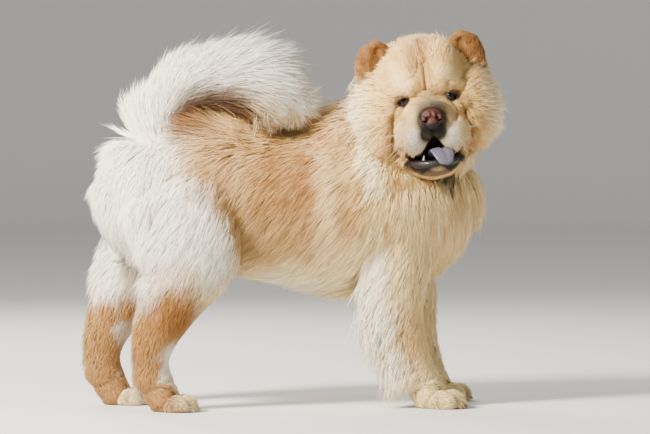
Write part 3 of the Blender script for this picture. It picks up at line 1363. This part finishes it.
# %% Fur, skin and lips
fur_material, fur_tree, fur_shader = shader_of("fur", 0.66, 0.12, 0.06)
fur_shader.inputs["Sheen Roughness"].default_value = 0.5
attribute_colour(fur_tree, fur_shader, 60, 0.14)
skin_material, skin_tree, skin_shader = shader_of("undercoat_and_skin", 0.75, 0.3)
bumped(skin_tree, skin_shader, attribute_colour(skin_tree, skin_shader, 400, 0.10), 0.35, 0.001)
skin_mesh.materials.clear()
skin_mesh.materials.append(skin_material)
skin_mesh.materials.append(finish("lip_skin", (0.42, 0.35, 0.0, 0.10), (500, 0.25), (420, 0.6, 0.0010)))
face_survey = survey(read(skin_mesh.polygons, "center") - shift)
wet = bare(face_survey) & (face_survey["q"][:, 2] < -0.060)
skin_mesh.polygons.foreach_set("material_index", wet.astype(np.int32))
for piece in coat_pieces:
    piece.data.materials.append(fur_material)

# %% [markdown]
# ## Nose
#
# The nose leather is broad and square, with comma-shaped nostrils whose wings curl at the sides,
# and a groove down its middle. It is liver brown, darker round its rim, and pebbled.

# %% Nose
def nose_mesh():
    x, y, z = NOSE_AT
    pieces = [
        ball((x - 0.002, y, z + 0.002), (0.0145, 0.0210, 0.0155)),
        ball((x + 0.0015, y, z - 0.009), (0.0125, 0.0150, 0.0125)),
        ball((x - 0.004, y, z + 0.010), (0.0120, 0.0165, 0.0070)),
    ]
    for sign in SIDE.values():
        pieces.append(ball((x + 0.004, 0.0135 * sign, z - 0.003), (0.0090, 0.0068, 0.0090)))
        pieces.append(ball((x + 0.007, 0.0045 * sign, z + 0.004), (0.0070, 0.0050, 0.0065)))
    mesh = clay(pieces, 0.0009, 3)
    for sign in SIDE.values():
        turn = Matrix.Rotation(0.35 * sign, 3, "X")
        holes = [
            ball((x + 0.0145, 0.0085 * sign, z - 0.0015), (0.0085, 0.0034, 0.0046), turn),
            ball((x + 0.0120, 0.0125 * sign, z - 0.0062), (0.0080, 0.0048, 0.0017), turn),
        ]
        mesh = boolean(mesh, clay(holes, 0.0007, 2), "DIFFERENCE")
    return pressed(mesh, ((((0.130, 0, -0.030), (0.130, 0, -0.060)), 0.0012, 0.0012),))


nose = link(nose_mesh(), "nose")
nose.data.transform(TO_WORLD @ HEAD_PLACE)
nose_points = in_head(coords(nose.data) - shift)
rim = ramp(np.abs(nose_points[:, 1]), 0.014, 0.019) + ramp(NOSE_AT.x + 0.0085 - nose_points[:, 0], 0.0, 0.006)
nose_colour = mix(np.tile(linear(0.25, 0.115, 0.085), (len(nose_points), 1)), linear(0.06, 0.04, 0.04), rim)
low_rim = ramp(NOSE_AT.z - nose_points[:, 2], 0.006, 0.013)
paint(nose.data, mix(nose_colour, linear(0.04, 0.03, 0.03), low_rim))
finished(nose, finish("nose_leather", (0.46, 0.25), (300, 0.15), (800, 0.8, 0.0006)))
print("nose", len(nose.data.polygons), "faces")

# %% [markdown]
# ## Eyes
#
# The eyes are small, dark and set deep. Each is a ball with a bulging clear-coated front; the
# brown iris and the pupil are painted by distance from the gaze line.

# %% Eyes
CORNEA_FROM = 0.80  # the share of the radius past which the front bulges
CORNEA_RISE = 0.0007


def eye_object(side):
    bm = bmesh.new()
    bmesh.ops.create_uvsphere(bm, u_segments=48, v_segments=32, radius=EYE_RADIUS)
    bmesh.ops.rotate(bm, cent=(0, 0, 0), matrix=Matrix.Rotation(math.radians(90), 3, "Y"), verts=bm.verts)
    for vertex in bm.verts:
        vertex.co.x += CORNEA_RISE * max(vertex.co.x / EYE_RADIUS - CORNEA_FROM, 0) / (1 - CORNEA_FROM)
    mesh = mesh_from(bm, f"eye_{side}_globe")
    local = coords(mesh)
    radius = np.linalg.norm(local[:, 1:], axis=1)
    front = local[:, 0] > 0
    c = np.tile(linear(0.12, 0.08, 0.07), (len(local), 1))
    c = mix(c, linear(0.09, 0.05, 0.03), front * (1 - ramp(radius, 0.0066, 0.0072)))
    ring = ramp(radius, 0.0030, 0.0044) * (1 - ramp(radius, 0.0054, 0.0062))
    c = mix(c, linear(0.15, 0.08, 0.04), front * ring)
    paint(mesh, mix(c, linear(0.02, 0.015, 0.012), front * (1 - ramp(radius, 0.0030, 0.0035))))
    gaze = Matrix.Rotation(math.radians(-4), 4, "Z")
    mesh.transform(TO_WORLD @ HEAD_PLACE @ Matrix.Translation(at_side(EYE_AT, SIDE[side])) @ gaze)
    return link(mesh, f"eye_{side}_globe")


eye_material = finish("eye", (0.22, 0.12, 0.0, 0.04), (900, 0.12))
eyes = {side: eye_object(side) for side in SIDE}
for eye in eyes.values():
    finished(eye, eye_material)
print("eyes", list(eyes))

# %% [markdown]
# ## Tongue and tooth
#
# A chow's tongue is famous for its blue-grey colour. It is a flat tube, hollowed along the middle
# and bent over the lower lip. One lower canine shows beside it.

# %% Tongue and tooth
def tongue_mesh():
    rows = (
        (0.040, 0.002, -0.1180, 0.016, 0.0040),
        (0.060, 0.006, -0.1100, 0.0175, 0.0046),
        (0.082, 0.008, -0.1000, 0.0190, 0.0046),
        (0.100, 0.011, -0.1005, 0.0195, 0.0042),
        (0.112, 0.014, -0.1095, 0.0180, 0.0036),
        (0.1165, 0.016, -0.1210, 0.0125, 0.0030),
    )
    mesh = clay([sweep(rows, dome=1.0)], 0.0013, 3)
    points = coords(mesh)
    groove = np.exp(-(((points[:, 1] - 0.014 - (points[:, 0] - 0.10) * 0.2) / 0.0035) ** 2))
    points[:, 2] -= 0.0016 * groove * (points[:, 0] > 0.05)
    set_coords(mesh, points)
    return mesh


tongue = link(tongue_mesh(), "tongue_piece")
tongue.data.transform(TO_WORLD @ HEAD_PLACE)
tongue_points = in_head(coords(tongue.data) - shift)
back_of_tongue = ramp(0.085 - tongue_points[:, 0], 0.0, 0.03)
tongue_colour = np.tile(linear(0.34, 0.32, 0.38), (len(tongue_points), 1))
paint(tongue.data, mix(tongue_colour, linear(0.20, 0.17, 0.23), back_of_tongue * 0.8))
finished(tongue, finish("tongue", (0.42, 0.4, 0.0, 0.15), (250, 0.16), (900, 0.3, 0.0004)))
print("tongue", len(tongue.data.polygons), "faces")

# %% Tooth
canine_rows = (
    (0.080, -0.0200, -0.1230, 0.0030, 0.0034),
    (0.083, -0.0205, -0.1165, 0.0029, 0.0032),
    (0.086, -0.0200, -0.1110, 0.0020, 0.0022),
    (0.088, -0.0190, -0.1060, 0.0009, 0.0009),
)
canine = link(sweep(canine_rows, sides=14, dome=0.8), "canine_piece")
canine.data.transform(TO_WORLD @ HEAD_PLACE)
painted(canine.data, 0.93, 0.90, 0.82)
finished(canine, finish("tooth", (0.25, 0.5, 0.0, 0.3), (300, 0.05)))
print("tooth", len(canine.data.polygons), "faces")

# %% [markdown]
# ## Claws
#
# Each toe ends in a short blunt claw, curved down and worn to the floor. They are horn, so they
# get a smooth pale brown finish and stay separate from the skin.

# %% Claws
CLAW = (
    (0.008, 0.0120, 0.0028, 0.0034),
    (0.015, 0.0115, 0.0026, 0.0033),
    (0.0210, 0.0080, 0.0020, 0.0026),
    (0.0245, 0.0030, 0.0007, 0.0009),
)


def claw_mesh(leg, side, tx, ty):
    mesh = sweep([(tx + ahead, ty * 1.04, z, a, b) for ahead, z, a, b in CLAW], sides=12, steps=4)
    mesh.transform(TO_WORLD @ paw_place(leg, side))
    return mesh


claw_material = finish("claw_horn", (0.35, 0.5, 0.0, 0.2), (400, 0.2))
claws = []
for leg, side in FEET:
    claw = link(joined([claw_mesh(leg, side, tx, ty) for tx, ty in TOES]), f"claws_{leg}_{side}")
    painted(claw.data, 0.55, 0.47, 0.38)
    finished(claw, claw_material)
    claws.append(claw)
print("claws", len(claws) * len(TOES))

# %% [markdown]
# ## Whiskers
#
# A few long stiff hairs grow from the cushions of the upper lip. Each is a thin tapered tube,
# bent back by its own weight.

# %% Whiskers
def whisker(sign, row, column):
    start = Vector((0.098 - 0.012 * column, (0.034 + 0.009 * column) * sign, -0.066 - 0.009 * row))
    out = Vector((0.30 - 0.25 * column, sign, 0.10 - 0.28 * row)).normalized()
    reach = 0.046 - 0.005 * row
    rows = []
    for t, size in ((0, 0.00032), (0.35, 0.00026), (0.7, 0.00018), (1, 0.00008)):
        point = start + out * reach * t + Vector((-0.010, 0, -0.008)) * t * t
        rows.append((*point, size, size))
    mesh = sweep(rows, Vector((1, 0, 0.2)), sides=5, steps=2)
    mesh.transform(TO_WORLD @ HEAD_PLACE)
    return mesh


GRID = [(row, column) for row in range(3) for column in range(3)]
whisker_meshes = [whisker(sign, *spot) for sign in SIDE.values() for spot in GRID]
whiskers = link(joined(whisker_meshes), "whiskers")
painted(whiskers.data, 0.72, 0.68, 0.60)
whiskers.data.materials.append(fur_material)
print("whiskers", len(whisker_meshes))

# %% [markdown]
# ## Joining the pieces to the solids
#
# Every visible piece rides on the part's one body. The skin stands for all nodes of flesh, and
# the small pieces each replace their own solid.

# %% Ride and replace
FLESH = [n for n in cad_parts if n.split("_")[0] not in ("nose", "tongue", "canine", "eye")]
for piece in [skin, nose, tongue, canine, whiskers] + coat_pieces + claws + list(eyes.values()):
    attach(piece, "root")
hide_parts(*FLESH)
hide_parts("nose")
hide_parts("tongue")
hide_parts("canine")
for side, eye in eyes.items():
    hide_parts(f"eye_{side}")

# %% [markdown]
# ## Floor, light and camera
#
# A wide pale floor, curved up like a shallow bowl far away on all sides, and large soft lights
# keep the attention on the dog. The key light comes from the camera's left. The camera is far
# away behind a long lens, as in the photograph.

# %% Floor and lights
BEND_AT = 12.0
BEND_RADIUS = 4.0
AROUND = 96
bend = [math.radians(3.75 * k) for k in range(23)]
profile = [(BEND_AT + BEND_RADIUS * math.sin(t), BEND_RADIUS * (1 - math.cos(t))) for t in bend]
bowl = [[(r * math.cos(t), r * math.sin(t), z) for t in turns_of(AROUND)] for r, z in profile]
floor = link(bridged(bowl, open_end=True), "studio_floor")
floor_material, _, floor_shader = shader_of("studio_paper", 0.85, 0.2)
floor_shader.inputs["Base Color"].default_value = (*linear(0.86, 0.85, 0.83), 1)
finished(floor, floor_material)

world = bpy.data.worlds.new("studio")
world.use_nodes = True
sky = world.node_tree.nodes["Background"]
sky.inputs["Color"].default_value = (0.86, 0.87, 0.90, 1)
sky.inputs["Strength"].default_value = 0.55
bpy.context.scene.world = world


def aimed(thing, name, place, aim):
    """An object at a place, turned towards its aim."""
    made = link(thing, name)
    made.location = place
    made.rotation_mode = "QUATERNION"
    made.rotation_quaternion = (Vector(aim) - Vector(place)).to_track_quat("-Z", "Y")
    return made


def soft_light(name, place, aim, size, power, colour):
    lamp = bpy.data.lights.new(name, "AREA")
    lamp.shape = "DISK"
    lamp.size = size
    lamp.energy = power
    lamp.color = colour
    aimed(lamp, name, place, aim)


soft_light("key", (-2.9, -1.9, 2.4), (0, 0, 0.35), 1.0, 740, (1.0, 0.95, 0.86))
soft_light("fill", (2.6, -2.4, 1.2), (0, 0, 0.3), 2.0, 14, (0.9, 0.94, 1.0))
soft_light("rim", (-0.6, 2.6, 2.2), (0, 0, 0.4), 1.4, 110, (1.0, 0.97, 0.92))

# %% Camera
camera_data = bpy.data.cameras.new("camera")
camera_data.sensor_width = 36
camera_data.lens = 191.42
camera_data.clip_end = 60
stand = Vector((-0.9957, -5.9170, 0.46)) + SHIFT
camera = aimed(camera_data, "camera", stand, Vector((0.0462, -0.0081, 0.3281)) + SHIFT)
bpy.context.scene.camera = camera
